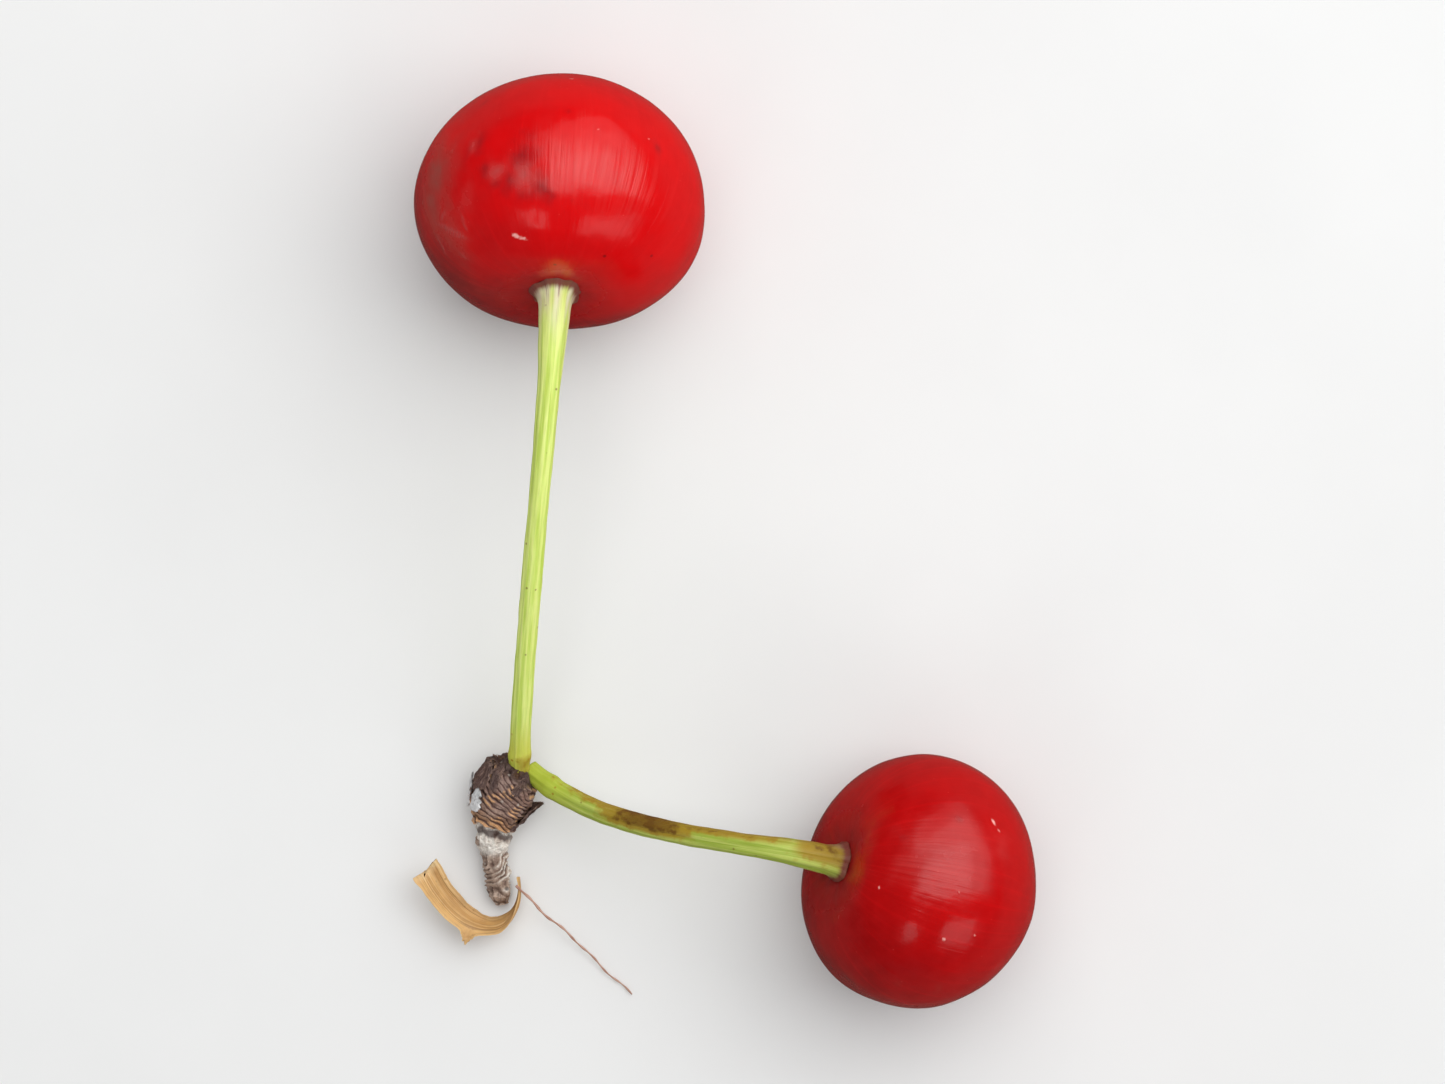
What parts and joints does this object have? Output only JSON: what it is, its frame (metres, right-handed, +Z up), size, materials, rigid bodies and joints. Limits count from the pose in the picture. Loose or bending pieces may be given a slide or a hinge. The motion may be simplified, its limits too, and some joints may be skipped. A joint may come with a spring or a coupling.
{
  "type": "pair of cherries on stalks",
  "caption": "Ripe sour cherries on slender joined stalks that grow from a ring-scarred woody spur with peeled bark; fresh fruit lying as picked.",
  "frame": {"origin": "middle of the underside of the bounding box, on the surface that the pair lies on", "axes": "+Z up from the surface; +Y from the spur towards the cherry on the longer stalk; +X towards the cherry on the shorter stalk"},
  "size_m": [0.04, 0.0596, 0.0181],
  "materials": {
    "bright_skin": "taut glossy bright red fruit skin",
    "deep_skin": "taut glossy deep red fruit skin",
    "green_stalk": "smooth yellow-green plant stalk with fine lengthwise lines",
    "dull_stalk": "dull green plant stalk with a brown stain",
    "spur_wood": "rough brown ring-scarred wood",
    "papery_bark": "dry tan papery bark with lengthwise fibres",
    "bark_fibre": "pale thin plant fibre",
    "dry_scale": "dark dry brittle bud scale"
  },
  "bodies": {
    "root": {"upper_cherry": "bright_skin", "lower_cherry": "deep_skin", "upper_stalk": "green_stalk", "lower_stalk": "dull_stalk", "spur": "spur_wood", "bark_curl": "papery_bark", "bark_fibre": "bark_fibre", "bud_scale_left": "dry_scale", "bud_scale_right": "dry_scale", "bud_scale_top": "dry_scale"}
  },
  "joints": []
}
